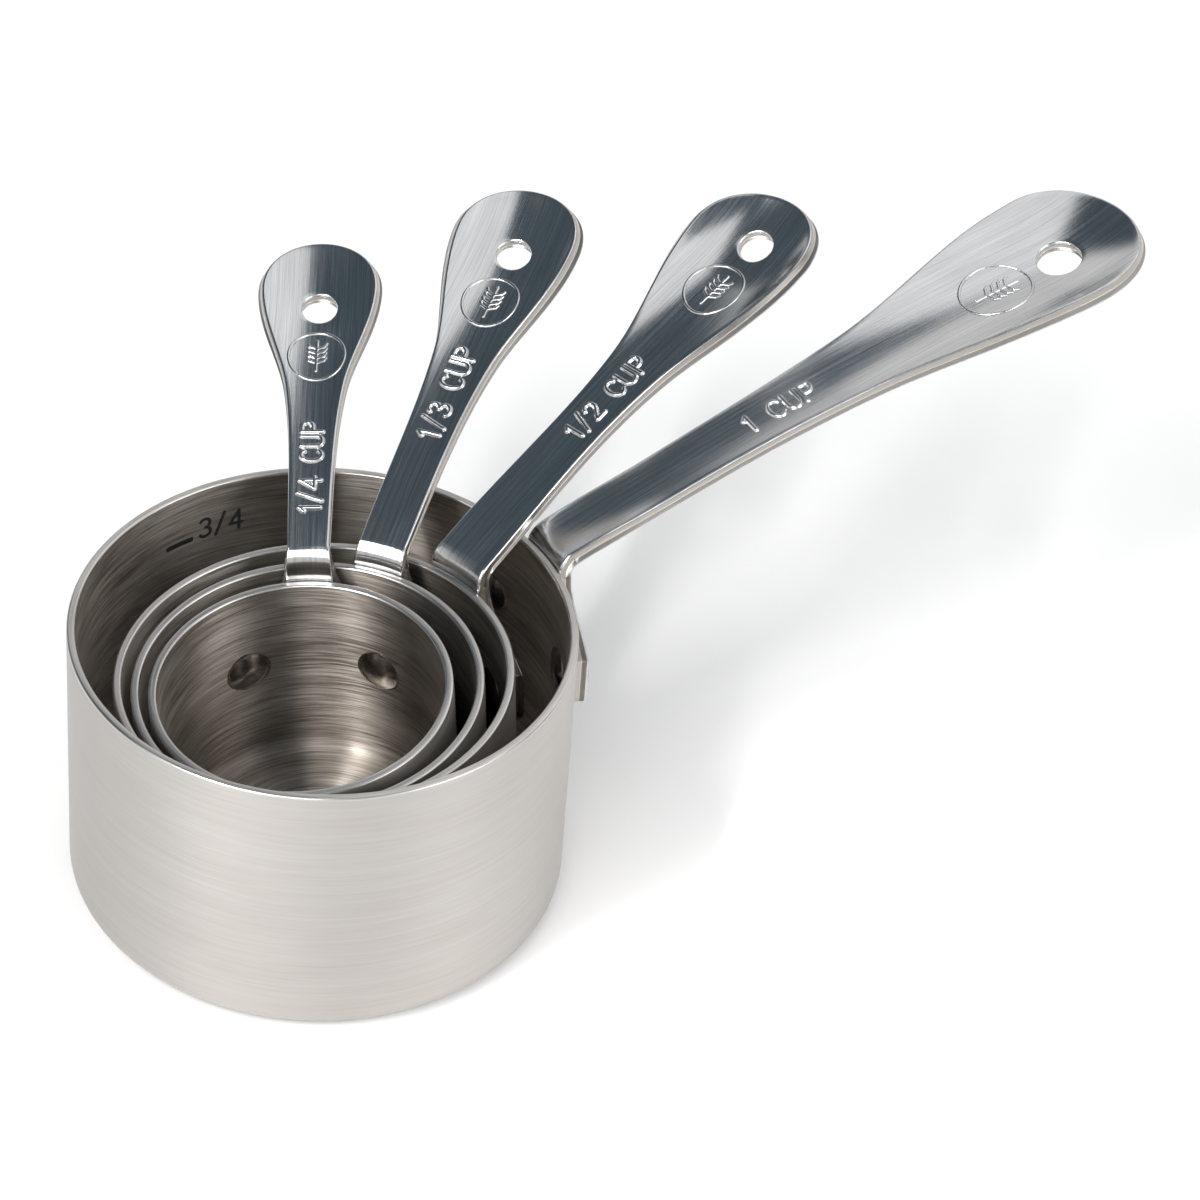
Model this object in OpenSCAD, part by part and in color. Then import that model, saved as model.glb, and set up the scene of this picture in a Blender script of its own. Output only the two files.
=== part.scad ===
// Nesting set of four long-handled steel measuring cups.
// Frame: origin at the centre of the largest cup's underside, +Z up, +X along its handle.
// Every list holds the four cups in the order one cup, half cup, third cup, quarter cup.

/* [Cups] */
// Outside diameter of each cup
cup_d = [81.4, 63.9, 56.2, 48.4]; // [44:0.1:90]
// Outside height of each cup
cup_h = [50.2, 41.8, 39.0, 37.8]; // [34:0.1:60]
// Thickness of the cup wall and floor
wall = 1.4; // [1.0:0.1:1.5]
// Inside radius of the corner between wall and floor
corner_r = 2.6; // [1.5:0.1:4]
// Rounding of the rim's two edges
rim_r = 0.4; // [0.2:0.05:0.5]

/* [Nest] */
// Base centre of each cup, forward of the axis of the cup that holds it
nest_x = [0, -1.1, -0.85, -1.4]; // [-2:0.05:2]
// Base centre of each cup, to the left of the axis of the cup that holds it
nest_y = [0, -4.9, 0.1, -1.25]; // [-6:0.05:2]
// Height of each cup's base centre above the underside of the cup that holds it
nest_z = [0, 3.55, 2.55, 2.25]; // [0:0.05:6]
// How far each cup leans in the cup that holds it, in degrees
lean = [0, 3.95, 2.25, 0.6]; // [0:0.05:5]
// Direction of the raised side of each leaning cup, in degrees from its forward axis
lean_dir = [0, -9.4, 54.2, -15]; // [-90:1:90]
// Direction of each handle, in degrees from its cup's forward axis
handle_dir = [0, 15.9, 38.1, 58.9]; // [-90:0.5:90]

/* [Handles] */
// Thickness of the handle strip
strip_t = 2.4; // [2:0.1:2.5]
// Length of each handle from its bend to its tip, along the strip
reach = [113.7, 83.6, 72.4, 60.7]; // [55:0.1:130]
// Height of the outer end of each bend above its cup's rim
bend_h = [2.0, 3.7, 3.7, 5.7]; // [1.5:0.1:7]
// Radius of the bend, on the strip's upper face
bend_r = 3.65; // [3.2:0.05:5]
// Slope of each neck where it leaves the bend, in degrees
slope_root = [20, 24, 23.3, 23]; // [18:0.1:26]
// Slope of each handle where its end starts to curl up, in degrees
slope_dip = [11, 14, 9.6, 4.8]; // [2:0.1:16]
// How far the end curls up, in degrees
curl = 20; // [5:1:30]
// Length of the curled end
curl_len = 19; // [14:0.5:24]
// Half-width of each neck at the bend
neck_w = [4.95, 5.05, 3.95, 3.35]; // [3:0.05:6]
// Half-width of each neck where the paddle starts to spread
mid_w = [7.1, 5.3, 5.3, 4.9]; // [3:0.05:8]
// Half-width of each paddle at its widest place
paddle_w = [14.2, 11.5, 10.8, 9.8]; // [8:0.1:15]
// Depth of the dish across the widest place of each paddle
dish = [4.2, 4.4, 3.8, 2.4]; // [1:0.1:5]
// Diameter of each hanging hole
hole_d = [7.6, 5.8, 5.8, 5.8]; // [4:0.1:9]
// Distance of each hanging hole from the tip
hole_from_tip = [14.2, 9.8, 12.6, 13.1]; // [9:0.1:16]

/* [Brackets and rivets] */
// Half-width of the bracket, measured round the cup
ear_w = 17.2; // [15:0.1:18]
// Depth of the bracket's lower edge below the rim
ear_low = [19.2, 20, 20.4, 21]; // [18:0.1:23]
// Depth of the bracket's ears' upper edge below the rim
ear_top = 9; // [7:0.1:10]
// Radius of the ears' lower corners
ear_r = 3; // [2:0.1:4]
// Distance of each rivet from the handle's centre line, measured round the cup
rivet_w = 11.9; // [10.5:0.1:12.5]
// Depth of the rivets below the rim
rivet_z = [15.2, 15.6, 16, 16.6]; // [14:0.1:17]
// Diameter of the rivet's shank
shank_d = 3.2; // [2.5:0.1:4]
// Diameter of the rivet's domed heads
head_d = 7.8; // [5:0.1:8]
// Height of the rivet's domed heads
head_h = 1.1; // [1:0.05:1.15]

/* [Hidden] */
$fn = 96;
// Gap between pieces that touch
touch = 0.02;
// Gap between a bracket's formed face and the cup's round wall
gap = 0.06;
// Overlap that carries a cut clear through a wall
past = 1;
// Steps round each corner arc of a cup's outline
arc_steps = 6;
// Rows and columns of the handle's surface
ear_rows = 5;
flare_rows = 8;
bend_rows = 6;
neck_rows = 16;
tip_rows = 8;
columns = 12;
// Where the paddle starts to spread, as a share of the way to its widest place, and how evenly
spread_from = 0.6;
spread_slope = 0.6;
// The neck keeps a slight dish from the curve of the cup wall
neck_curve = 0.012;

STEEL = [0.78, 0.77, 0.75];
POLISHED = [0.60, 0.63, 0.66];
RIVET = [0.70, 0.68, 0.65];

ONE = 0;
HALF = 1;
THIRD = 2;
QUARTER = 3;
LEFT = 1;
RIGHT = -1;

// ---------- Placing ----------

// Stands its children in cup i, inside all the cups that hold it
module nested(i) {
  if (i == ONE)
    children();
  else
    nested(i - 1)
      translate([nest_x[i], nest_y[i], nest_z[i]])
        rotate(a = -lean[i], v = [-sin(lean_dir[i]), cos(lean_dir[i]), 0])
          children();
}

// Turns its children to cup i's handle, with their origin at rim height on the cup's axis
module at_handle(i) {
  nested(i)
    translate([0, 0, cup_h[i]])
      rotate([0, 0, handle_dir[i]])
        children();
}

// ---------- Bowls ----------

function arc(centre, r, from, to, steps) =
  [for (k = [0:steps]) let (a = from + (to - from) * k / steps) centre + r * [cos(a), sin(a)]];

module bowl(i) {
  r = cup_d[i] / 2;
  h = cup_h[i];
  outer_r = corner_r + wall;
  rotate_extrude()
    polygon(concat(
      [[0, 0]],
      arc([r - outer_r, outer_r], outer_r, -90, 0, arc_steps),
      arc([r - rim_r, h - rim_r], rim_r, 0, 90, arc_steps / 2),
      arc([r - wall + rim_r, h - rim_r], rim_r, 90, 180, arc_steps / 2),
      arc([r - wall - corner_r, wall + corner_r], corner_r, 0, -90, arc_steps),
      [[0, wall]]
    ));
}

// ---------- Handles ----------
// A handle is one strip. Its stations run from the bracket's lower edge up the cup's wall,
// round the bend and out along the neck to the tip. Each station is
// [x, z, direction of travel, half-width, curvature across the strip].

function mix(a, b, k) = a + (b - a) * k;
function ease(k) = k * k * (3 - 2 * k);
function curve(a, b, slope_a, slope_b, span, k) =
  (2 * k ^ 3 - 3 * k ^ 2 + 1) * a + (k ^ 3 - 2 * k ^ 2 + k) * span * slope_a
  + (3 * k ^ 2 - 2 * k ^ 3) * b + (k ^ 3 - k ^ 2) * span * slope_b;

// Inner face of the strip against the cup, and where the strip starts to bend
function face_r(i) = cup_d[i] / 2 + gap;
function bend_start(i) = bend_h[i] - bend_r * cos(slope_root[i]);

// Where the paddle is widest, measured along the strip from the bend, so that its end is round
function widest(i) = reach[i] - paddle_w[i];

function half_width(i, s) =
  let (
    mid = spread_from * widest(i),
    rest = widest(i) - mid,
    spread = spread_slope * (paddle_w[i] - mid_w[i]) / rest,
    taper = spread_slope * (mid_w[i] - neck_w[i]) / mid
  )
  s < mid ? curve(neck_w[i], mid_w[i], taper, spread, mid, s / mid)
  : s < widest(i) ? curve(mid_w[i], paddle_w[i], spread, 0, rest, (s - mid) / rest)
  : sqrt(max(0, paddle_w[i] ^ 2 - (s - widest(i)) ^ 2));

// Radius of curvature that gives the paddle its dish
function dish_r(i) = (paddle_w[i] ^ 2 + dish[i] ^ 2) / (2 * dish[i]);
function cross_curve(i, s) = mix(neck_curve, 1 / dish_r(i), ease(min(1, s / widest(i))));

// In side view the neck is an arc whose slope falls evenly to the dip, and the end curls up
// from the dip in a second arc
function dip(i) = reach[i] - curl_len;
function slope(i, s) = s < dip(i) ? mix(slope_root[i], slope_dip[i], s / dip(i))
  : slope_dip[i] + curl * (s - dip(i)) / curl_len;
function arch_r(i) = dip(i) / ((slope_root[i] - slope_dip[i]) * PI / 180);
curl_r = curl_len / (curl * PI / 180);
function neck_x(i, s) =
  let (a = slope(i, min(s, dip(i))))
  face_r(i) + bend_r * (1 - sin(slope_root[i])) + arch_r(i) * (sin(slope_root[i]) - sin(a))
  + curl_r * (sin(slope(i, max(s, dip(i)))) - sin(slope_dip[i]));
function neck_z(i, s) =
  let (a = slope(i, min(s, dip(i))))
  bend_h[i] + arch_r(i) * (cos(a) - cos(slope_root[i]))
  + curl_r * (cos(slope_dip[i]) - cos(slope(i, max(s, dip(i)))));

function ear_stations(i) = [for (k = [0:ear_rows])
  let (a = 90 * k / ear_rows)
  [face_r(i), -ear_low[i] + ear_r * (1 - cos(a)), 90, ear_w - ear_r * (1 - sin(a)), 1 / face_r(i)]];

// From the ears' full width the outline sweeps in to the neck in a quarter of an ellipse
function flare_stations(i) = [for (k = [0:flare_rows])
  let (up = k / flare_rows, top = bend_start(i))
  [face_r(i), mix(-ear_top, top, up ^ 2), 90, mix(neck_w[i] + 0.4, ear_w, 1 - sin(90 * up)), 1 / face_r(i)]];

function bend_stations(i) = [for (k = [1:bend_rows])
  let (a = mix(90, slope_root[i], k / bend_rows))
  [face_r(i) + bend_r * (1 - sin(a)), bend_start(i) + bend_r * cos(a), a,
   mix(neck_w[i] + 0.4, neck_w[i], k / bend_rows), mix(1 / face_r(i), neck_curve, k / bend_rows)]];

function strip_station(i, s) = [neck_x(i, s), neck_z(i, s), slope(i, s), half_width(i, s), cross_curve(i, s)];
function neck_stations(i) = [for (k = [1:neck_rows]) strip_station(i, widest(i) * k / neck_rows)];
function tip_stations(i) = [for (k = [1:tip_rows])
  strip_station(i, mix(widest(i), reach[i] - touch, sin(90 * k / tip_rows)))];

function stations(i) = concat(
  ear_stations(i), flare_stations(i), bend_stations(i), neck_stations(i), tip_stations(i));

// A point of the strip, across from its centre line, on the upper face or at a depth below it
function strip_point(st, across, depth) =
  let (
    turn = st[4] * across * 180 / PI,
    radius = 1 / st[4] + depth,
    rise = 1 / st[4] - radius * cos(turn)
  )
  [st[0] - rise * sin(st[2]), radius * sin(turn), st[1] + rise * cos(st[2])];

module strip(i) {
  rows = stations(i);
  side = columns + 1;
  face_count = len(rows) * side;
  points = [for (depth = [0, strip_t]) for (st = rows) for (c = [0:columns])
    strip_point(st, st[3] * (2 * c / columns - 1), depth)];
  last = len(rows) - 1;
  // two triangles for each cell, split so that neither spans more of the cup's wall than it must
  top = [for (r = [0:last - 1]) for (c = [0:columns - 1])
    let (a = r * side + c, b = a + side)
    for (f = c < columns / 2 ? [[a, a + 1, b], [a + 1, b + 1, b]] : [[a, a + 1, b + 1], [a, b + 1, b]]) f];
  // the same faces seen from below, and the four edges of the strip
  bottom = [for (f = top) [for (k = [2:-1:0]) f[k] + face_count]];
  edge = concat(
    [for (c = [0:columns]) c],
    [for (r = [1:last]) r * side + columns],
    [for (c = [columns - 1:-1:0]) last * side + c],
    [for (r = [last - 1:-1:1]) r * side]
  );
  rim_faces = [for (k = [0:len(edge) - 1])
    let (a = edge[k], b = edge[(k + 1) % len(edge)]) [b, a, a + face_count, b + face_count]];
  polyhedron(points, concat(top, bottom, rim_faces), convexity = 6);
}

// Axis of a rivet: a radius of the cup, with +Z pointing out of the wall
module at_rivet(i, side) {
  rotate([0, 0, side * rivet_w / (cup_d[i] / 2) * 180 / PI])
    translate([0, 0, -rivet_z[i]])
      rotate([0, 90, 0])
        children();
}

module rivet_holes(i) {
  for (side = [LEFT, RIGHT])
    at_rivet(i, side)
      cylinder(d = shank_d + 2 * touch, h = cup_d[i]);
}

module hanging_hole(i) {
  s = reach[i] - hole_from_tip[i];
  translate([neck_x(i, s), 0, neck_z(i, s)])
    rotate([0, -slope(i, s), 0])
      cylinder(d = hole_d[i], h = 4 * strip_t, center = true);
}

module handle(i) {
  difference() {
    strip(i);
    rivet_holes(i);
    hanging_hole(i);
  }
}

module drilled_bowl(i) {
  difference() {
    nested(i) bowl(i);
    at_handle(i) rivet_holes(i);
  }
}

// ---------- Rivets ----------

// A domed head that stands on the plane z = 0
module dome() {
  ball_r = (head_d ^ 2 / 4 + head_h ^ 2) / (2 * head_h);
  intersection() {
    translate([0, 0, head_h - ball_r])
      sphere(r = ball_r);
    translate([0, 0, -past])
      cylinder(d = head_d, h = head_h + 2 * past);
  }
}

// Each head is seated on the curve of the face it grips
module rivet(i, side) {
  inner = cup_d[i] / 2 - wall;
  outer = face_r(i) + strip_t;
  difference() {
    at_rivet(i, side)
      translate([0, 0, outer])
        dome();
    translate([0, 0, -cup_h[i]])
      cylinder(r = outer + touch, h = 2 * cup_h[i]);
  }
  intersection() {
    at_rivet(i, side)
      translate([0, 0, inner])
        mirror([0, 0, 1])
          dome();
    translate([0, 0, -cup_h[i]])
      cylinder(r = inner - touch, h = 2 * cup_h[i]);
  }
  at_rivet(i, side)
    translate([0, 0, inner - head_h / 2])
      cylinder(d = shank_d, h = outer - inner + head_h);
}

// ---------- Nodes ----------

module one_cup_bowl() color(STEEL) drilled_bowl(ONE);
module half_cup_bowl() color(STEEL) drilled_bowl(HALF);
module third_cup_bowl() color(STEEL) drilled_bowl(THIRD);
module quarter_cup_bowl() color(STEEL) drilled_bowl(QUARTER);

module one_cup_handle() color(POLISHED) at_handle(ONE) handle(ONE);
module half_cup_handle() color(POLISHED) at_handle(HALF) handle(HALF);
module third_cup_handle() color(POLISHED) at_handle(THIRD) handle(THIRD);
module quarter_cup_handle() color(POLISHED) at_handle(QUARTER) handle(QUARTER);

module one_cup_rivet_left() color(RIVET) at_handle(ONE) rivet(ONE, LEFT);
module one_cup_rivet_right() color(RIVET) at_handle(ONE) rivet(ONE, RIGHT);
module half_cup_rivet_left() color(RIVET) at_handle(HALF) rivet(HALF, LEFT);
module half_cup_rivet_right() color(RIVET) at_handle(HALF) rivet(HALF, RIGHT);
module third_cup_rivet_left() color(RIVET) at_handle(THIRD) rivet(THIRD, LEFT);
module third_cup_rivet_right() color(RIVET) at_handle(THIRD) rivet(THIRD, RIGHT);
module quarter_cup_rivet_left() color(RIVET) at_handle(QUARTER) rivet(QUARTER, LEFT);
module quarter_cup_rivet_right() color(RIVET) at_handle(QUARTER) rivet(QUARTER, RIGHT);

one_cup_bowl();
one_cup_handle();
one_cup_rivet_left();
one_cup_rivet_right();
half_cup_bowl();
half_cup_handle();
half_cup_rivet_left();
half_cup_rivet_right();
third_cup_bowl();
third_cup_handle();
third_cup_rivet_left();
third_cup_rivet_right();
quarter_cup_bowl();
quarter_cup_handle();
quarter_cup_rivet_left();
quarter_cup_rivet_right();
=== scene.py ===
import math

import bpy
import numpy as np
from mathutils import Matrix, Vector


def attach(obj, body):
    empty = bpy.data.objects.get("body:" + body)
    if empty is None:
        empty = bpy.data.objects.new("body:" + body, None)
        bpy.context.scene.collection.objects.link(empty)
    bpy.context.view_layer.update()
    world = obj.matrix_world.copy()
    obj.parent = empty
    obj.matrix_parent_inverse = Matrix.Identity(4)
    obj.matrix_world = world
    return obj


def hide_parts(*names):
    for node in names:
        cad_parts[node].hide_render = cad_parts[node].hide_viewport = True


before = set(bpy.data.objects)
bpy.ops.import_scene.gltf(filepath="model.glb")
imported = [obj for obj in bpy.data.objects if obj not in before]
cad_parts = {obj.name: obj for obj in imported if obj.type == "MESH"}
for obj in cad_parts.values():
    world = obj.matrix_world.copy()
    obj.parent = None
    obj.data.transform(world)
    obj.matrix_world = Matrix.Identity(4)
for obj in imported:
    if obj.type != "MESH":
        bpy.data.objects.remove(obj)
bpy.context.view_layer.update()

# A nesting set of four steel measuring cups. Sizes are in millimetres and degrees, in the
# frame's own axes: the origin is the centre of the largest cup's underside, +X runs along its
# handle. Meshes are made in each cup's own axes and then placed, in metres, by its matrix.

MM = 0.001

# ---------- Dimensions ----------

# From the largest cup to the smallest: each stands inside the one before it, off centre and
# leaning, and its handle points its own way.
CUPS = [
    dict(name="one", mark="1 CUP", across=81.4, height=50.2, nest=(0, 0, 0), lean=0,
         lean_dir=0, handle_dir=0, reach=113.7, bend_h=2.0, slope_root=20, slope_dip=11,
         neck=4.95, mid=7.1, paddle=14.2, dish=4.2, root_curve=0.08, hole=7.6,
         hole_from_tip=14.2, ear_low=19.2, rivet_z=15.2, mark_at=37, mark_size=3.8,
         emblem=6.4),
    dict(name="half", mark="1/2 CUP", across=63.9, height=41.8, nest=(-1.1, -4.9, 3.55),
         lean=3.95, lean_dir=-9.4, handle_dir=15.9, reach=83.6, bend_h=3.7, slope_root=24,
         slope_dip=14, neck=5.05, mid=5.3, paddle=11.5, dish=4.4, root_curve=0.012, hole=5.8,
         hole_from_tip=9.8, ear_low=20, rivet_z=15.6, mark_at=27, mark_size=3.6,
         emblem=5.4),
    dict(name="third", mark="1/3 CUP", across=56.2, height=39.0, nest=(-0.85, 0.1, 2.55),
         lean=2.25, lean_dir=54.2, handle_dir=38.1, reach=72.4, bend_h=3.7, slope_root=23.3,
         slope_dip=9.6, neck=3.95, mid=5.3, paddle=10.8, dish=3.8, root_curve=0.012, hole=5.8,
         hole_from_tip=12.6, ear_low=20.4, rivet_z=16, mark_at=20.5, mark_size=3.7,
         emblem=5.2),
    dict(name="quarter", mark="1/4 CUP", across=48.4, height=37.8, nest=(-1.4, -1.25, 2.25),
         lean=0.6, lean_dir=-15, handle_dir=58.9, reach=60.7, bend_h=5.7, slope_root=23,
         slope_dip=4.8, neck=3.35, mid=4.9, paddle=9.8, dish=2.4, root_curve=0.012, hole=5.8,
         hole_from_tip=13.1, ear_low=21, rivet_z=16.6, mark_at=6, mark_size=3.4,
         emblem=5.2),
]

# Bowls: the wall, the inside corner's radius and the rim's
WALL = 1.4
CORNER_R = 2.6
RIM_R = 0.4

# Handles: the strip, its rounded edges, its bend and the curl at its end
STRIP_T = 2.4
EDGE_R = 0.35
BEND_R = 3.65
CURL = 20
CURL_LEN = 19
# Length over which the root's curve across the strip gives way to the neck's, and that curve
ROOT_LEN = 20
NECK_CURVE = 0.012
# Share of the neck at which it starts to spread, and how fast it does
SPREAD_FROM = 0.6
SPREAD_SLOPE = 0.6

# Brackets: half-width and height of the ears, their corners, the root's extra half-width and
# the clearance from the bowl
EAR_W = 17.2
EAR_TOP = 9
EAR_R = 3
ROOT_EXTRA = 0.4
GAP = 0.06

# Rivets: half the distance between the two, the shank, the heads, the part of a head that is
# seated flat, the straight edge under the dome and the clearance of the seat
RIVET_W = 11.9
SHANK_R = 1.6
HEAD_R = 3.9
HEAD_H = 1.1
SEAT_R = 2.6
HEAD_EDGE = 0.05
DOME_INSET = 0.12
TOUCH = 0.02


# ---------- Placing ----------

def cup_matrix(index):
    """A cup's own axes, with its base centre as origin, inside the cups that hold it."""
    if index == 0:
        return Matrix.Identity(4)
    cup = CUPS[index]
    toward = math.radians(cup["lean_dir"])
    hinge = Vector((-math.sin(toward), math.cos(toward), 0))
    return (cup_matrix(index - 1) @ Matrix.Translation(cup["nest"])
            @ Matrix.Rotation(-math.radians(cup["lean"]), 4, hinge))


def handle_matrix(index):
    """The same axes raised to the cup's rim and turned so that +X runs along the handle."""
    cup = CUPS[index]
    return (cup_matrix(index) @ Matrix.Translation((0, 0, cup["height"]))
            @ Matrix.Rotation(math.radians(cup["handle_dir"]), 4, "Z"))


# ---------- Meshes ----------

def make_piece(name, cup, points, faces, matrix, materials, grain=None, uvs=None, slots=None):
    """One closed mesh, placed in metres and riding on its cup's body.

    grain holds each point's place along and across the brushing, uvs one pair per face
    corner with U along the brushing, and slots one material number per face."""
    mesh = bpy.data.meshes.new(name)
    mesh.from_pydata([tuple(p) for p in points], [], [tuple(f) for f in faces])
    mesh.validate(verbose=False)
    for material in materials:
        mesh.materials.append(material)
    if slots is not None:
        mesh.polygons.foreach_set("material_index", np.asarray(slots, np.int32))
    if grain is not None:
        layer = mesh.attributes.new("grain", "FLOAT_VECTOR", "POINT")
        layer.data.foreach_set("vector", np.asarray(grain, np.float32).ravel())
    if uvs is not None:
        layer = mesh.uv_layers.new(name="brushing")
        layer.data.foreach_set("uv", np.asarray(uvs, np.float32).ravel())
    mesh.shade_smooth()
    piece = bpy.data.objects.new(name, mesh)
    bpy.context.scene.collection.objects.link(piece)
    mesh.transform(Matrix.Scale(MM, 4) @ matrix)
    mesh.update()
    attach(piece, cup["name"] + "_cup")
    return piece


def arc(centre, radius, start, end, steps):
    """Points of a circular arc from one angle to another, both included."""
    angles = np.radians(np.linspace(start, end, steps + 1))
    return [(centre[0] + radius * math.cos(a), centre[1] + radius * math.sin(a)) for a in angles]


def line(start, end, steps):
    """Points between two ends, which aren't included."""
    shares = [k / steps for k in range(1, steps)]
    return [tuple(np.array(start) * (1 - k) + np.array(end) * k) for k in shares]


def lathe(profile, segments):
    """A closed surface turned about Z from an outline that starts and ends on the axis.

    Returns points, faces, grain, uvs and, per face, the outline point that it starts from."""
    profile = np.array(profile, float)
    along = np.concatenate([[0], np.cumsum(np.hypot(*np.diff(profile, axis=0).T))])
    turns = 2 * math.pi * np.arange(segments) / segments
    cos, sin = np.cos(turns), np.sin(turns)
    rings = profile[1:-1]
    points = [np.stack([r * cos, r * sin, np.full(segments, z)], 1) for r, z in rings]
    grain = [np.stack([r * cos, r * sin, np.full(segments, a)], 1)
             for (r, _), a in zip(rings, along[1:-1])]
    points = np.vstack(points + [[(0, 0, profile[0, 1]), (0, 0, profile[-1, 1])]])
    grain = np.vstack(grain + [[(0, 0, along[0]), (0, 0, along[-1])]])
    first_pole, last_pole = len(points) - 2, len(points) - 1
    faces, uvs, rows = [], [], []
    for row in range(len(rings) - 1):
        for k in range(segments):
            a, b = row * segments + k, row * segments + (k + 1) % segments
            faces.append((a, b, b + segments, a + segments))
            u, v = k / segments, (k + 1) / segments
            near, far = along[row + 1], along[row + 2]
            uvs += [(u, near), (v, near), (v, far), (u, far)]
            rows.append(row + 1)
    last = (len(rings) - 1) * segments
    for k in range(segments):
        u, v = k / segments, (k + 1) / segments
        after = (k + 1) % segments
        faces.append((first_pole, after, k))
        uvs += [(u, along[0]), (v, along[1]), (u, along[1])]
        rows.append(0)
        faces.append((last_pole, last + k, last + after))
        uvs += [(u, along[-1]), (u, along[-2]), (v, along[-2])]
        rows.append(len(rings))
    return points, faces, grain, uvs, rows


# ---------- Node helpers ----------

def add_node(tree, kind, inputs=None, **settings):
    """A node with its settings, and its inputs set to values or linked from sockets."""
    made = tree.nodes.new(kind)
    for key, value in settings.items():
        setattr(made, key, value)
    for key, value in (inputs or {}).items():
        if isinstance(value, bpy.types.NodeSocket):
            tree.links.new(value, made.inputs[key])
        else:
            made.inputs[key].default_value = value
    return made


def new_material(name):
    material = bpy.data.materials.new(name)
    material.use_nodes = True
    tree = material.node_tree
    return material, tree, tree.nodes["Principled BSDF"]


def math_node(tree, operation, a, b=0.0, c=0.0):
    made = add_node(tree, "ShaderNodeMath", {0: a, 1: b, 2: c}, operation=operation)
    return made.outputs[0]


def spread(tree, value, low, high, width=0.4):
    """Carries a noise value over to the range low to high, from a band of a width round 0.5."""
    made = add_node(tree, "ShaderNodeMapRange",
                    {"Value": value, "From Min": 0.5 - width / 2, "From Max": 0.5 + width / 2,
                     "To Min": low, "To Max": high})
    return made.outputs[0]


def smooth_step(tree, value, start, end):
    """0 up to start and 1 from end on, or the other way round if end comes first."""
    made = add_node(tree, "ShaderNodeMapRange",
                    {"Value": value, "From Min": start, "From Max": end},
                    interpolation_type="SMOOTHSTEP")
    return made.outputs[0]


def streaks(tree, grain, length, width, seed, detail=2.0):
    """Noise drawn out along the brushing: streaks of a length and a width in millimetres."""
    scaled = add_node(tree, "ShaderNodeVectorMath",
                      {0: grain, 1: (1 / length, 1 / length, 1 / width)}, operation="MULTIPLY")
    moved = add_node(tree, "ShaderNodeVectorMath", {0: scaled.outputs[0], 1: (seed, seed, seed)},
                     operation="ADD")
    made = add_node(tree, "ShaderNodeTexNoise",
                    {"Vector": moved.outputs[0], "Scale": 1.0, "Detail": detail, "Roughness": 0.6})
    return made.outputs["Fac"]


def mix_colour(tree, share, a, b):
    made = add_node(tree, "ShaderNodeMix", data_type="RGBA")
    tree.links.new(share, made.inputs["Factor"])
    made.inputs["A"].default_value = (*a, 1)
    made.inputs["B"].default_value = (*b, 1)
    return made.outputs["Result"]


# ---------- Materials ----------

def brushed_steel(name, dark, light, rough, fine, coarse, relief, stretch, band, cloud=18.0):
    """Steel with brushed lines.

    dark and light are the ends of its colour, rough the ends of its roughness, fine and
    coarse the (length, width) of its two sizes of line, relief the depth of the lines in
    metres, stretch how far highlights are drawn out across them and band the width of noise
    that spans the whole range of tones: the narrower, the stronger the contrast."""
    material, tree, shader = new_material(name)
    grain = add_node(tree, "ShaderNodeAttribute", attribute_name="grain").outputs["Vector"]
    thin = streaks(tree, grain, *fine, seed=3.1)
    broad = streaks(tree, grain, *coarse, seed=11.7)
    patches = streaks(tree, grain, cloud, cloud * 0.4, seed=23.0, detail=1.0)
    lines = math_node(tree, "ADD", math_node(tree, "MULTIPLY", thin, 0.6),
                      math_node(tree, "MULTIPLY", broad, 0.4))
    tone = math_node(tree, "ADD", math_node(tree, "MULTIPLY", lines, 0.8),
                     math_node(tree, "MULTIPLY", patches, 0.2))
    shader.inputs["Metallic"].default_value = 1.0
    tree.links.new(mix_colour(tree, spread(tree, tone, 0, 1, band), dark, light),
                   shader.inputs["Base Color"])
    tree.links.new(spread(tree, tone, *rough, band), shader.inputs["Roughness"])
    tangent = add_node(tree, "ShaderNodeTangent", direction_type="UV_MAP", uv_map="brushing")
    tree.links.new(tangent.outputs[0], shader.inputs["Tangent"])
    shader.inputs["Anisotropic"].default_value = stretch
    shader.inputs["Anisotropic Rotation"].default_value = 0.25
    ridges = math_node(tree, "ADD", math_node(tree, "MULTIPLY", thin, 0.8),
                       math_node(tree, "MULTIPLY", broad, 0.2))
    bump = add_node(tree, "ShaderNodeBump", {"Height": ridges, "Distance": relief, "Strength": 1.0})
    tree.links.new(bump.outputs[0], shader.inputs["Normal"])
    return material


def polished_rivet():
    """Tumbled steel, with small dents."""
    material, tree, shader = new_material("rivet_steel")
    place = add_node(tree, "ShaderNodeTexCoord").outputs["Object"]
    dents = add_node(tree, "ShaderNodeTexNoise",
                     {"Vector": place, "Scale": 1800.0, "Detail": 2.0}).outputs["Fac"]
    shader.inputs["Metallic"].default_value = 1.0
    tree.links.new(mix_colour(tree, dents, (0.40, 0.37, 0.34), (0.56, 0.53, 0.50)),
                   shader.inputs["Base Color"])
    tree.links.new(spread(tree, dents, 0.14, 0.24), shader.inputs["Roughness"])
    bump = add_node(tree, "ShaderNodeBump",
                    {"Height": dents, "Distance": 0.00002, "Strength": 0.5})
    tree.links.new(bump.outputs[0], shader.inputs["Normal"])
    return material


def mark_ink():
    """Printed black ink, slightly uneven in its sheen."""
    material, tree, shader = new_material("mark_ink")
    place = add_node(tree, "ShaderNodeTexCoord").outputs["Object"]
    speckle = add_node(tree, "ShaderNodeTexNoise",
                       {"Vector": place, "Scale": 2500.0, "Detail": 2.0}).outputs["Fac"]
    tree.links.new(mix_colour(tree, speckle, (0.006, 0.006, 0.006), (0.02, 0.02, 0.02)),
                   shader.inputs["Base Color"])
    tree.links.new(spread(tree, speckle, 0.45, 0.65), shader.inputs["Roughness"])
    return material


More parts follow.
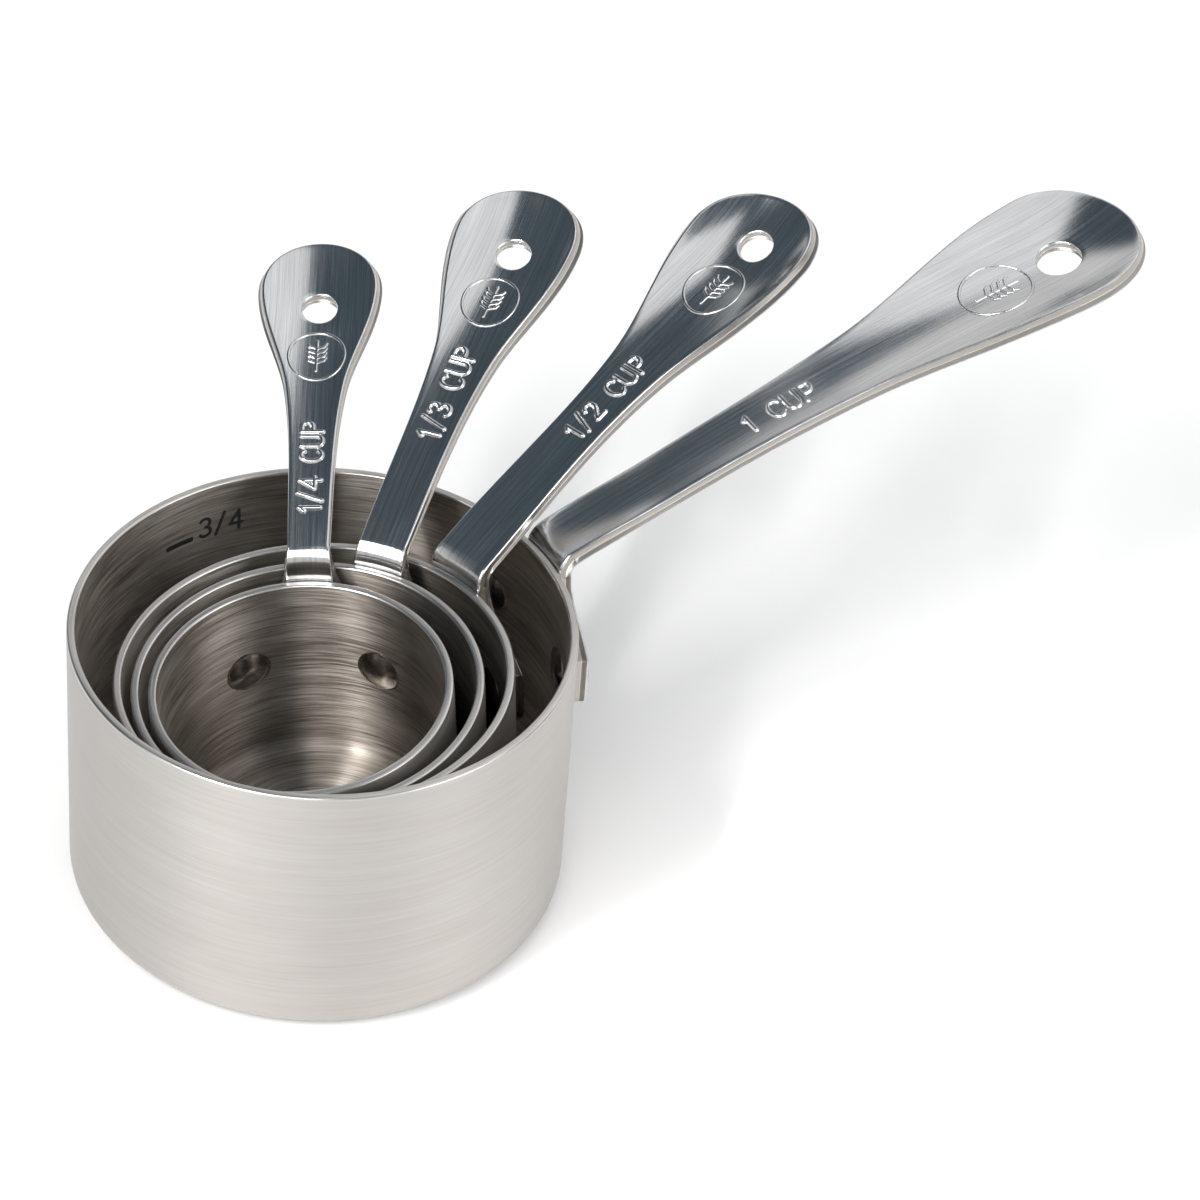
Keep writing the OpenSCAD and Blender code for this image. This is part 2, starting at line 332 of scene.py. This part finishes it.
OUTSIDE = brushed_steel("bowl_outside", (0.47, 0.445, 0.42), (0.58, 0.56, 0.535), (0.32, 0.42),
                        (14, 0.18), (35, 0.7), 0.000010, 0.85, 0.40)
# The inside is the same steel as the outside. Its colour is painted darker as painted shade,
# standing in for the dim light and dark reflections inside the bowl. Its streaks are brushing.
SHADED_INSIDE = brushed_steel("bowl_inside_painted_shade", (0.19, 0.165, 0.14), (0.50, 0.46, 0.415), (0.34, 0.48),
                       (7, 0.12), (16, 0.4), 0.000026, 1.0, 0.22)
RIM = brushed_steel("bowl_rim", (0.46, 0.44, 0.42), (0.70, 0.68, 0.66), (0.24, 0.36),
                    (10, 0.2), (20, 0.6), 0.000010, 0.5, 0.3)
FACE = brushed_steel("handle_steel", (0.50, 0.515, 0.53), (0.74, 0.74, 0.74), (0.12, 0.20),
                     (11, 0.11), (30, 0.5), 0.000008, 0.45, 0.26)
CUT = brushed_steel("handle_edge", (0.62, 0.575, 0.53), (0.76, 0.72, 0.675), (0.28, 0.40),
                    (0.3, 4.0), (1.2, 6.0), 0.000010, 0.3, 0.3)
RIVET = polished_rivet()
INK = mark_ink()


# ---------- Bowls ----------

LATHE_STEPS = 288
FLOOR_STEPS = 14
OUTER_CORNER_STEPS = 12
INNER_CORNER_STEPS = 10
WALL_STEPS = 20
RIM_STEPS = 6


def bowl(index):
    """A drawn cup: floor, rounded corner, straight wall and rounded rim."""
    cup = CUPS[index]
    r, h = cup["across"] / 2, cup["height"]
    outer_r = CORNER_R + WALL
    inside_r = r - WALL
    start = [(0, 0)] + line((0, 0), (r - outer_r, 0), FLOOR_STEPS)
    outer = arc((r - outer_r, outer_r), outer_r, -90, 0, OUTER_CORNER_STEPS)
    outer += line((r, outer_r), (r, h - RIM_R), WALL_STEPS)
    rim = arc((r - RIM_R, h - RIM_R), RIM_R, 0, 90, RIM_STEPS)
    rim += arc((inside_r + RIM_R, h - RIM_R), RIM_R, 90, 180, RIM_STEPS)
    inner = line((inside_r, h - RIM_R), (inside_r, WALL + CORNER_R), WALL_STEPS)
    inner += arc((inside_r - CORNER_R, WALL + CORNER_R), CORNER_R, 0, -90, INNER_CORNER_STEPS)
    inner += line((inside_r - CORNER_R, WALL), (0, WALL), FLOOR_STEPS) + [(0, WALL)]
    profile = start + outer + rim + inner
    points, faces, grain, uvs, rows = lathe(profile, LATHE_STEPS)
    rim_from, rim_to = len(start) + len(outer), len(start) + len(outer) + len(rim)
    slots = [0 if row < rim_from else 1 if row < rim_to - 1 else 2 for row in rows]
    piece = make_piece(cup["name"] + "_cup_bowl_steel", cup, points, faces, cup_matrix(index),
                       [OUTSIDE, RIM, SHADED_INSIDE], grain, uvs, slots)
    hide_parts(cup["name"] + "_cup_bowl")


# ---------- Handles ----------
# A handle is one strip. A place on it is (t, y): t along it from the bracket's lower edge and
# y across it, to the left. It runs up the cup's wall, round the bend and out along the neck.

def mix(a, b, k):
    return a + (b - a) * k


def ease(k):
    k = np.clip(k, 0, 1)
    return k * k * (3 - 2 * k)


def hermite(a, b, slope_a, slope_b, span, k):
    return ((2 * k**3 - 3 * k**2 + 1) * a + (k**3 - 2 * k**2 + k) * span * slope_a
            + (3 * k**2 - 2 * k**3) * b + (k**3 - k**2) * span * slope_b)


class Strip:
    """The shape of one cup's handle strip."""

    def __init__(self, cup):
        self.cup = cup
        self.face_r = cup["across"] / 2 + GAP
        self.root = math.radians(cup["slope_root"])
        self.dip_slope = math.radians(cup["slope_dip"])
        self.curl = math.radians(CURL)
        self.bend_start = cup["bend_h"] - BEND_R * math.cos(self.root)
        self.ear_top = cup["ear_low"] - EAR_TOP
        self.bracket_len = cup["ear_low"] + self.bend_start
        self.neck_from = self.bracket_len + BEND_R * (math.pi / 2 - self.root)
        self.length = self.neck_from + cup["reach"]
        self.widest = cup["reach"] - cup["paddle"]
        self.dip = cup["reach"] - CURL_LEN
        self.hole_t = self.length - cup["hole_from_tip"]
        self.dish_r = (cup["paddle"] ** 2 + cup["dish"] ** 2) / (2 * cup["dish"])

    def slope(self, s):
        return np.where(s < self.dip, mix(self.root, self.dip_slope, s / self.dip),
                        self.dip_slope + self.curl * (s - self.dip) / CURL_LEN)

    def curvature(self, t):
        cup, s = self.cup, np.maximum(t - self.neck_from, 0)
        round_bend = np.clip((t - self.bracket_len) / (self.neck_from - self.bracket_len), 0, 1)
        neck = mix(cup["root_curve"], NECK_CURVE, ease(s / ROOT_LEN))
        neck = mix(neck, 1 / self.dish_r, ease(s / self.widest))
        return mix(1 / self.face_r, neck, round_bend)

    def centre(self, t):
        """The centre line's x, z and slope."""
        cup, s = self.cup, np.maximum(t - self.neck_from, 0)
        arch_r = self.dip / (self.root - self.dip_slope)
        curl_r = CURL_LEN / self.curl
        arch_slope = self.slope(np.minimum(s, self.dip))
        end_slope = self.slope(np.maximum(s, self.dip))
        neck_x = (self.face_r + BEND_R * (1 - math.sin(self.root))
                  + arch_r * (math.sin(self.root) - np.sin(arch_slope))
                  + curl_r * (np.sin(end_slope) - math.sin(self.dip_slope)))
        neck_z = (cup["bend_h"] + arch_r * (np.cos(arch_slope) - math.cos(self.root))
                  + curl_r * (math.cos(self.dip_slope) - np.cos(end_slope)))
        turn = math.pi / 2 - np.clip(t - self.bracket_len, 0, self.neck_from) / BEND_R
        bend_x = self.face_r + BEND_R * (1 - np.sin(turn))
        bend_z = self.bend_start + BEND_R * np.cos(turn)
        on_wall, on_bend = t < self.bracket_len, t < self.neck_from
        x = np.where(on_wall, self.face_r, np.where(on_bend, bend_x, neck_x))
        z = np.where(on_wall, t - cup["ear_low"], np.where(on_bend, bend_z, neck_z))
        slope = np.where(on_wall, math.pi / 2, np.where(on_bend, turn, self.slope(s)))
        return x, z, slope

    def half_width(self, t):
        cup, s = self.cup, t - self.neck_from
        mid = SPREAD_FROM * self.widest
        rest = self.widest - mid
        spread_out = SPREAD_SLOPE * (cup["paddle"] - cup["mid"]) / rest
        taper = SPREAD_SLOPE * (cup["mid"] - cup["neck"]) / mid
        neck = hermite(cup["neck"], cup["mid"], taper, spread_out, mid, s / mid)
        paddle = hermite(cup["mid"], cup["paddle"], spread_out, 0, rest, (s - mid) / rest)
        tip = np.sqrt(np.maximum(0, cup["paddle"] ** 2 - np.maximum(s - self.widest, 0) ** 2))
        corner = EAR_W - EAR_R + np.sqrt(np.maximum(0, EAR_R**2 - np.maximum(EAR_R - t, 0) ** 2))
        up = np.clip((t - self.ear_top) / (self.bend_start + EAR_TOP), 0, 1)
        wide = cup["neck"] + ROOT_EXTRA
        flare = mix(wide, EAR_W, 1 - np.sin(math.pi / 2 * np.sqrt(up)))
        bend = mix(wide, cup["neck"], (t - self.bracket_len) / (self.neck_from - self.bracket_len))
        return np.select([t < self.ear_top, t < self.bracket_len, s < 0, s < mid, s < self.widest],
                         [corner, flare, bend, neck, paddle], tip)

    def place(self, t, y, depth):
        """A point of the strip, at a depth below its upper face."""
        x, z, slope = self.centre(t)
        curve = self.curvature(t)
        radius = 1 / curve + depth
        rise = 1 / curve - radius * np.cos(curve * y)
        return np.stack([x - rise * np.sin(slope), radius * np.sin(curve * y),
                         z + rise * np.cos(slope)], -1)


ROUNDING = [EDGE_R * (1 - math.cos(math.radians(a))) for a in (0, 18, 36, 54, 72, 90)]
COLUMNS = 20
EAR_ROWS = 24
FLARE_ROWS = 60
FLARE_BUNCHING = 2.2
BEND_ROWS = 18
NECK_ROWS = 110
TIP_STEPS = 90
RAY_STEPS = 12
# Distance from the hole's centre back to the last row, in radii of the hole
HOLE_MARGIN = 1.9


def between_edges(near, far, steps):
    """Places from near to far, close together within a rounded edge's width of both."""
    inner = np.linspace(near + EDGE_R, far - EDGE_R, steps + 1)[1:-1]
    return np.concatenate([near + np.array(ROUNDING), inner, far - np.array(ROUNDING[::-1])])


def flat_pattern(strip):
    """The strip's outline laid flat as a mesh of four-sided faces, with a ring round its hole.

    Returns points (t, y), faces, the outline's points in order and the hole's."""
    hole_r = strip.cup["hole"] / 2
    join = strip.hole_t - HOLE_MARGIN * hole_r
    flare = np.linspace(0, 1, FLARE_ROWS)[1:] ** FLARE_BUNCHING
    rows = np.concatenate([
        between_edges(0, strip.ear_top, EAR_ROWS),
        strip.ear_top + (strip.bend_start + EAR_TOP) * flare,
        np.linspace(strip.bracket_len, strip.neck_from, BEND_ROWS)[1:],
        np.linspace(strip.neck_from, join, NECK_ROWS)[1:]])
    across = [between_edges(-w, w, COLUMNS) for w in strip.half_width(rows)]
    side = len(across[0])
    points = np.concatenate([np.stack([np.full(side, t), y], 1) for t, y in zip(rows, across)])
    faces = [(r * side + c, (r + 1) * side + c, (r + 1) * side + c + 1, r * side + c + 1)
             for r in range(len(rows) - 1) for c in range(side - 1)]

    # round the hole: rays from its edge to the last row and to the outline of the tip
    last_row = [(len(rows) - 1) * side + c for c in range(side)]
    centre = np.array([strip.hole_t, 0.0])
    tip_t = join + (strip.length - join) * np.sin(math.pi / 2 * np.linspace(0, 1, TIP_STEPS))
    left = np.stack([tip_t, strip.half_width(tip_t)], 1)[1:-1]
    end = np.array([[strip.length, 0.0]])
    right = left[::-1] * (1, -1)
    outline_points = np.concatenate([left, end, right])
    ends = np.concatenate([outline_points, points[last_row]])
    first_new = len(points)
    ray_side = len(ROUNDING) * 2 + RAY_STEPS - 1
    for end_point in ends:
        toward = end_point - centre
        reach = np.hypot(*toward)
        distances = between_edges(hole_r, reach, RAY_STEPS)
        points = np.vstack([points, centre + np.outer(distances, toward / reach)])
    rays = [[first_new + k * ray_side + j for j in range(ray_side)] for k in range(len(ends))]
    for ray, end_number in zip(rays[len(outline_points):], last_row):
        ray[-1] = end_number
    for k, ray in enumerate(rays):
        after = rays[(k + 1) % len(rays)]
        faces += [(ray[j], after[j], after[j + 1], ray[j + 1]) for j in range(ray_side - 1)]
    hole_loop = [ray[0] for ray in rays]
    tip_loop = [ray[-1] for ray in rays[:len(outline_points)]]
    low_edge = list(range(side))
    right_edge = [r * side for r in range(1, len(rows))]
    left_edge = [r * side + side - 1 for r in range(1, len(rows))]
    outline = low_edge + left_edge + tip_loop + right_edge[::-1]
    return points, faces, outline, hole_loop


def distance_to_loop(points, loop):
    """Each point's distance from a closed line."""
    ends = np.roll(loop, -1, 0)
    along = ends - loop
    squared = np.maximum((along**2).sum(1), 1e-12)
    nearest = np.full(len(points), 1e9)
    for start, step, size in zip(loop, along, squared):
        share = np.clip(((points - start) @ step) / size, 0, 1)
        gap = points - start - share[:, None] * step
        nearest = np.minimum(nearest, (gap**2).sum(1))
    return np.sqrt(nearest)


def edge_depth(distance):
    """How far a rounded edge falls below the face at a distance from its outline."""
    inside = np.maximum(EDGE_R - distance, 0)
    return EDGE_R - np.sqrt(np.maximum(EDGE_R**2 - inside**2, 0))


def drop_unused(points, faces, loops):
    """Leaves out points that no face uses."""
    used = np.zeros(len(points), bool)
    used[np.unique(np.concatenate([np.ravel(f) for f in faces]))] = True
    number = np.cumsum(used) - 1
    faces = [tuple(int(number[v]) for v in f) for f in faces]
    return points[used], faces, [[int(number[v]) for v in loop] for loop in loops]


# The underside's grain and brushing are shifted, so that its streaks differ from the upper face's
UNDERSIDE_GRAIN = (300, 0, 50)
UNDERSIDE_UV = (0, 200)


def handle(index):
    """A strip with rounded edges: its two faces, the wall round its outline and the hole's."""
    cup = CUPS[index]
    strip = Strip(cup)
    flat, faces, outline, hole_loop = flat_pattern(strip)
    flat, faces, (outline, hole_loop) = drop_unused(flat, faces, (outline, hole_loop))
    distance = np.minimum(distance_to_loop(flat, flat[outline]),
                          distance_to_loop(flat, flat[hole_loop]))
    fall = edge_depth(distance)
    count = len(flat)
    top = strip.place(flat[:, 0], flat[:, 1], fall)
    bottom = strip.place(flat[:, 0], flat[:, 1], STRIP_T - fall)
    points = np.vstack([top, bottom])
    all_faces = [f[::-1] for f in faces] + [tuple(v + count for v in f) for f in faces]
    slots = [0] * len(all_faces)
    for loop in (outline, hole_loop[::-1]):
        for a, b in zip(loop, loop[1:] + loop[:1]):
            all_faces.append((a, b, b + count, a + count))
            slots.append(1)
    along, across = flat[:, 0], flat[:, 1]
    grain_top = np.stack([along, np.zeros(count), across], 1)
    grain = np.vstack([grain_top, grain_top + UNDERSIDE_GRAIN])
    uv_of = np.vstack([flat, flat + UNDERSIDE_UV])
    uvs = [uv_of[v] for f in all_faces for v in f]
    piece = make_piece(cup["name"] + "_cup_handle_steel", cup, points, all_faces,
                       handle_matrix(index), [FACE, CUT], grain, uvs, slots)
    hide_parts(cup["name"] + "_cup_handle")


# ---------- Rivets ----------

RIVET_SEGMENTS = 64
DOME_POINTS = 14
SHARP_FROM = math.radians(50)


def rivet(index, side_name, side):
    """A shank with a domed head inside the cup and another outside its bracket."""
    cup = CUPS[index]
    inner = cup["across"] / 2 - WALL - TOUCH
    outer = cup["across"] / 2 + GAP + STRIP_T + TOUCH
    ball_r = (HEAD_R**2 + HEAD_H**2) / (2 * HEAD_H)
    dome = [(ball_r * math.sin(a), HEAD_H - ball_r * (1 - math.cos(a)))
            for a in np.linspace(0, math.asin((HEAD_R - DOME_INSET) / ball_r), DOME_POINTS)]
    # each point is (radius, height, radius of the wall that it is seated on, or none)
    profile = [(r, inner - z, None) for r, z in dome]
    profile += [(HEAD_R, inner - HEAD_EDGE, inner), (HEAD_R, inner, inner)]
    profile += [(SEAT_R, inner, inner), (SHANK_R, inner, inner)]
    profile += [(SHANK_R, outer, outer), (SEAT_R, outer, outer)]
    profile += [(HEAD_R, outer, outer), (HEAD_R, outer + HEAD_EDGE, outer)]
    profile += [(r, outer + z, None) for r, z in dome[::-1]]
    points, faces, grain, uvs, _ = lathe([(r, z) for r, z, _ in profile], RIVET_SEGMENTS)
    seat = np.repeat([s or 0 for _, _, s in profile[1:-1]], RIVET_SEGMENTS)
    rings = points[:len(seat)]
    seated = seat > 0
    fall = seat[seated] - np.sqrt(seat[seated] ** 2 - rings[seated, 1] ** 2)
    rings[seated, 2] -= fall
    turn = side * RIVET_W / (cup["across"] / 2)
    matrix = (handle_matrix(index) @ Matrix.Rotation(turn, 4, "Z")
              @ Matrix.Translation((0, 0, -cup["rivet_z"])) @ Matrix.Rotation(math.pi / 2, 4, "Y"))
    node_name = f"{cup['name']}_cup_rivet_{side_name}"
    piece = make_piece(node_name + "_steel", cup, points, faces, matrix, [RIVET], grain, uvs)
    piece.data.set_sharp_from_angle(angle=SHARP_FROM)
    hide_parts(node_name)


# ---------- Marks ----------
# A mark is a set of strokes in a letter box one unit high. Its surface is a grid raised where
# it is close to a stroke.

def bow(cx, cy, rx, ry, start, end, steps=14):
    angles = np.radians(np.linspace(start, end, steps))
    return [(cx + rx * math.cos(a), cy + ry * math.sin(a)) for a in angles]


# Each glyph: its width and its strokes
GLYPHS = {
    "1": (0.30, [[(0.0, 0.78), (0.20, 1.0), (0.20, 0.0)]]),
    "2": (0.56, [bow(0.28, 0.72, 0.26, 0.28, 165, -30) + [(0.03, 0.0), (0.56, 0.0)]]),
    "3": (0.54, [bow(0.25, 0.75, 0.25, 0.25, 150, -80), bow(0.25, 0.26, 0.28, 0.26, 85, -150)]),
    "4": (0.60, [[(0.44, 0.0), (0.44, 1.0), (0.0, 0.30), (0.60, 0.30)]]),
    "/": (0.42, [[(0.0, -0.08), (0.42, 1.08)]]),
    "C": (0.58, [bow(0.32, 0.5, 0.32, 0.5, 45, 315, 22)]),
    "U": (0.56, [[(0.0, 1.0), (0.0, 0.30)] + bow(0.28, 0.28, 0.28, 0.28, 180, 360)
                 + [(0.56, 1.0)]]),
    "P": (0.54, [[(0.0, 0.0), (0.0, 1.0), (0.28, 1.0)] + bow(0.28, 0.74, 0.26, 0.26, 90, -90)
                 + [(0.0, 0.48)]]),
    " ": (0.40, []),
}
LETTER_GAP = 0.26
EMBLEM_GAP = 2.6
EMBLEM_GRAINS = 4

# How each kind of mark is raised: half the width of its lines, the slope beside them, its
# height, how far its sides sink under the surface and its grid's step
STAMPED = dict(half_line=0.14, shoulder=0.44, height=0.38, sunk=0.06, cell=0.07)
ENGRAVED = dict(half_line=0.14, shoulder=0.20, height=0.20, sunk=0.05, cell=0.07)
PRINTED = dict(half_line=0.28, shoulder=0.06, height=0.02, sunk=0.03, cell=0.06)


def write(text, size):
    """The strokes of a line of text from (0, 0), and its length."""
    strokes, at = [], 0.0
    for letter in text:
        width, parts = GLYPHS[letter]
        strokes += [[((x + at) * size, y * size) for x, y in part] for part in parts]
        at += width + LETTER_GAP
    return strokes, (at - LETTER_GAP) * size


def distance_to_strokes(u, v, strokes):
    nearest = np.full(u.shape, 1e9)
    for stroke in strokes:
        for (x0, y0), (x1, y1) in zip(stroke, stroke[1:]):
            dx, dy = x1 - x0, y1 - y0
            share = np.clip(((u - x0) * dx + (v - y0) * dy) / max(dx * dx + dy * dy, 1e-9), 0, 1)
            nearest = np.minimum(nearest, np.hypot(u - x0 - share * dx, v - y0 - share * dy))
    return nearest


def raised_mark(name, cup, strokes, style, surface, matrix, material):
    """A closed skin whose top stands proud along the strokes and dips under the surface
    beside them. surface(u, v, h) gives the point at a height over the base surface."""
    half_line, shoulder, cell, sunk = (style[k] for k in ("half_line", "shoulder", "cell", "sunk"))
    ends = np.array([p for stroke in strokes for p in stroke])
    margin = half_line + shoulder + 2 * cell
    low, high = ends.min(0) - margin, ends.max(0) + margin
    us = np.arange(low[0], high[0], cell)
    vs = np.arange(low[1], high[1], cell)
    u, v = np.meshgrid(us, vs, indexing="ij")
    away = distance_to_strokes(u, v, strokes) - half_line
    top = mix(style["height"], -sunk, ease(away / shoulder))
    kept = away < shoulder
    kept_cell = kept[:-1, :-1] & kept[1:, :-1] & kept[:-1, 1:] & kept[1:, 1:]
    number = np.arange(u.size).reshape(u.shape)
    i, j = np.nonzero(kept_cell)
    quads = np.stack([number[i, j], number[i + 1, j], number[i + 1, j + 1], number[i, j + 1]], 1)
    count = u.size
    edges = {}
    for quad in quads:
        for a, b in zip(quad, np.roll(quad, -1)):
            if edges.pop((b, a), None) is None:
                edges[(a, b)] = True
    faces = [tuple(q) for q in quads] + [tuple(q[::-1] + count) for q in quads]
    faces += [(b, a, a + count, b + count) for a, b in edges]
    points = np.vstack([surface(u.ravel(), v.ravel(), top.ravel()),
                        surface(u.ravel(), v.ravel(), np.full(count, -2.0 * sunk))])
    grain = np.vstack([np.stack([u.ravel(), np.zeros(count), v.ravel()], 1)] * 2)
    points, faces, _ = drop_unused(np.hstack([points, grain]), faces, ())
    points, grain = points[:, :3], points[:, 3:]
    uvs = [(grain[v, 0], grain[v, 2]) for f in faces for v in f]
    piece = make_piece(name, cup, points, faces, matrix, [material], grain, uvs)


def size_mark(index):
    """The cup's size, raised along its neck and read from the cup outwards."""
    cup = CUPS[index]
    strip = Strip(cup)
    size = cup["mark_size"]
    strokes, _ = write(cup["mark"], size)
    begin = strip.neck_from + cup["mark_at"]

    def surface(u, v, h):
        return strip.place(begin + u, v - size / 2, -h)

    raised_mark(cup["name"] + "_cup_size_mark", cup, strokes, STAMPED, surface,
                handle_matrix(index), FACE)


def emblem(index):
    """A plain oval with an ear of wheat, stamped between the size mark and the hanging hole."""
    cup = CUPS[index]
    strip = Strip(cup)
    long_r, short_r = cup["emblem"], 0.9 * cup["emblem"]
    middle_t = strip.hole_t - cup["hole"] / 2 - EMBLEM_GAP - long_r
    ring = bow(0, 0, long_r, short_r, 0, 360, 48)
    stem = [(-0.62 * long_r, 0), (0.66 * long_r, 0)]
    grains = []
    for k in range(EMBLEM_GRAINS):
        foot, tip = (-0.30 + 0.2 * k) * long_r, (-0.08 + 0.2 * k) * long_r
        for side in (-1, 1):
            grains.append([(foot, 0), ((foot + tip) / 2, side * 0.24 * long_r),
                           (tip, side * 0.30 * long_r)])

    def surface(u, v, h):
        return strip.place(middle_t + u, v, -h)

    raised_mark(cup["name"] + "_cup_emblem", cup, [ring, stem] + grains, ENGRAVED, surface,
                handle_matrix(index), FACE)


def level_mark():
    """A printed bar and its fraction inside the largest cup."""
    cup = CUPS[0]
    radius = cup["across"] / 2 - WALL
    size, bar_from, bar_len, gap = 3.7, 0.35, 5.2, 1.6
    below_rim, turn_from = 10.2, math.radians(103)
    digits, _ = write("3/4", size)
    shifted = [[(x + bar_len + gap, y + 0.1) for x, y in stroke] for stroke in digits]
    bar = [[(bar_from, y), (bar_len, y)] for y in (0.3, 0.7)]

    def surface(u, v, h):
        turn = turn_from - u / radius
        r = radius - h
        return np.stack([r * np.cos(turn), r * np.sin(turn), cup["height"] - below_rim + v], -1)

    raised_mark("one_cup_level_mark", cup, shifted + bar, PRINTED, surface, cup_matrix(0), INK)


# ---------- The set ----------

for number in range(len(CUPS)):
    bowl(number)
    handle(number)
    rivet(number, "left", 1)
    rivet(number, "right", -1)
    size_mark(number)
    emblem(number)
level_mark()


# ---------- Floor, light and camera ----------

# Direction in which the camera looks, seen from above, and its height and tilt
LOOK_DIR = math.radians(56.3)
LOOK_DOWN = math.radians(39.94)
ROLL = math.radians(4.78)
# Distance from the largest cup's rim centre, and how far right and up of it the view is centred
DISTANCE = 713.0
AIM_RIGHT = 43.96
AIM_UP = 4.1
LENS = 134.45
SENSOR = 36.0

level_right = Vector((math.sin(LOOK_DIR), -math.cos(LOOK_DIR), 0))
level_back = Vector((math.cos(LOOK_DIR), math.sin(LOOK_DIR), 0))
forward = level_back * math.cos(LOOK_DOWN) - Vector((0, 0, math.sin(LOOK_DOWN)))


def studio(right, back, up):
    """A place in the studio, in metres, from the set's middle as the camera faces it."""
    return level_right * right + level_back * back + Vector((0, 0, up))


def add_camera():
    level_up = level_right.cross(forward)
    right = math.cos(ROLL) * level_right + math.sin(ROLL) * level_up
    up = math.cos(ROLL) * level_up - math.sin(ROLL) * level_right
    rim_centre = Vector((0, 0, CUPS[0]["height"]))
    place = rim_centre + AIM_RIGHT * right + AIM_UP * up - DISTANCE * forward
    camera = bpy.data.objects.new("camera", bpy.data.cameras.new("camera"))
    bpy.context.scene.collection.objects.link(camera)
    turn = Matrix((right, up, -forward)).transposed().to_4x4()
    camera.matrix_world = Matrix.Translation(place * MM) @ turn
    camera.data.lens = LENS
    camera.data.sensor_width = SENSOR
    camera.data.clip_start, camera.data.clip_end = 0.05, 20
    bpy.context.scene.camera = camera


def softbox(name, place, aim, width, depth, radiance, colour):
    """A rectangular soft light that faces a point, level from side to side in the camera's
    view. Radiance is its own brightness."""
    data = bpy.data.lights.new(name, "AREA")
    data.shape = "RECTANGLE"
    data.size, data.size_y = width, depth
    data.energy = radiance * math.pi * width * depth
    data.color = colour
    light = bpy.data.objects.new(name, data)
    bpy.context.scene.collection.objects.link(light)
    away = (place - aim).normalized()
    side = (level_right - away * level_right.dot(away)).normalized()
    turn = Matrix((side, away.cross(side), away)).transposed().to_4x4()
    light.matrix_world = Matrix.Translation(place) @ turn


def add_floor():
    mesh = bpy.data.meshes.new("floor")
    half = 3.0
    mesh.from_pydata([(-half, -half, 0), (half, -half, 0), (half, half, 0), (-half, half, 0)], [],
                     [(0, 1, 2, 3)])
    floor = bpy.data.objects.new("floor", mesh)
    bpy.context.scene.collection.objects.link(floor)
    floor.location.z = -0.0002
    material, tree, shader = new_material("floor_paper")
    fibres = add_node(tree, "ShaderNodeTexNoise", {"Scale": 400.0, "Detail": 3.0}).outputs["Fac"]
    tree.links.new(mix_colour(tree, fibres, (0.90, 0.90, 0.90), (0.93, 0.93, 0.93)),
                   shader.inputs["Base Color"])
    shader.inputs["Roughness"].default_value = 0.9
    shader.inputs["Specular IOR Level"].default_value = 0.1
    mesh.materials.append(material)


def add_world():
    """A dim blue-grey room over a pale horizon."""
    world = bpy.data.worlds.new("studio")
    bpy.context.scene.world = world
    world.use_nodes = True
    tree = world.node_tree
    sky = tree.nodes["Background"]
    direction = add_node(tree, "ShaderNodeTexCoord").outputs["Generated"]
    up = add_node(tree, "ShaderNodeSeparateXYZ", {0: direction}).outputs["Z"]
    ramp = add_node(tree, "ShaderNodeValToRGB", {"Fac": up})
    stops = [(0.0, (0.66, 0.65, 0.64)), (0.40, (0.80, 0.79, 0.78)), (0.66, (0.80, 0.79, 0.78)),
             (0.73, (0.11, 0.14, 0.17)), (1.0, (0.08, 0.105, 0.13))]
    for element, (place, colour) in zip(ramp.color_ramp.elements, (stops[0], stops[-1])):
        element.position, element.color = place, (*colour, 1)
    for place, colour in stops[1:-1]:
        ramp.color_ramp.elements.new(place).color = (*colour, 1)
    # a dark wall on the left, from just left of the back to a little in front of abreast
    back = add_node(tree, "ShaderNodeVectorMath", {0: direction, 1: level_back},
                    operation="DOT_PRODUCT").outputs["Value"]
    right = add_node(tree, "ShaderNodeVectorMath", {0: direction, 1: level_right},
                     operation="DOT_PRODUCT").outputs["Value"]
    turned = math_node(tree, "ARCTAN2", math_node(tree, "MULTIPLY", right, -1.0), back)
    begins = smooth_step(tree, turned, math.radians(26), math.radians(34))
    ends = smooth_step(tree, turned, math.radians(120), math.radians(95))
    above = smooth_step(tree, up, 0.10, 0.22)
    wall = math_node(tree, "MULTIPLY", math_node(tree, "MULTIPLY", begins, ends), above)
    room = add_node(tree, "ShaderNodeMix", data_type="RGBA")
    tree.links.new(wall, room.inputs["Factor"])
    tree.links.new(ramp.outputs["Color"], room.inputs["A"])
    room.inputs["B"].default_value = (0.075, 0.10, 0.12, 1)
    tree.links.new(room.outputs["Result"], sky.inputs["Color"])
    sky.inputs["Strength"].default_value = 1.0


add_camera()
add_floor()
add_world()
middle = Vector((0, 0, 0.05))
softbox("overhead", studio(0.30, 0.27, 0.62), studio(0.30, 0.27, 0), 0.62, 0.68, 0.92,
        (1.0, 0.98, 0.96))
softbox("key", studio(-0.5, -1.0, 1.0), middle, 1.2, 0.9, 4.6, (1.0, 0.99, 0.98))
softbox("fill", studio(1.1, -0.6, 0.8), middle, 0.9, 0.9, 2.6, (1.0, 0.99, 0.98))
softbox("strip", studio(-0.46, -0.42, 0.90), middle, 0.035, 0.5, 75.0, (1.0, 0.99, 0.98))
bpy.context.scene.view_settings.view_transform = "Standard"
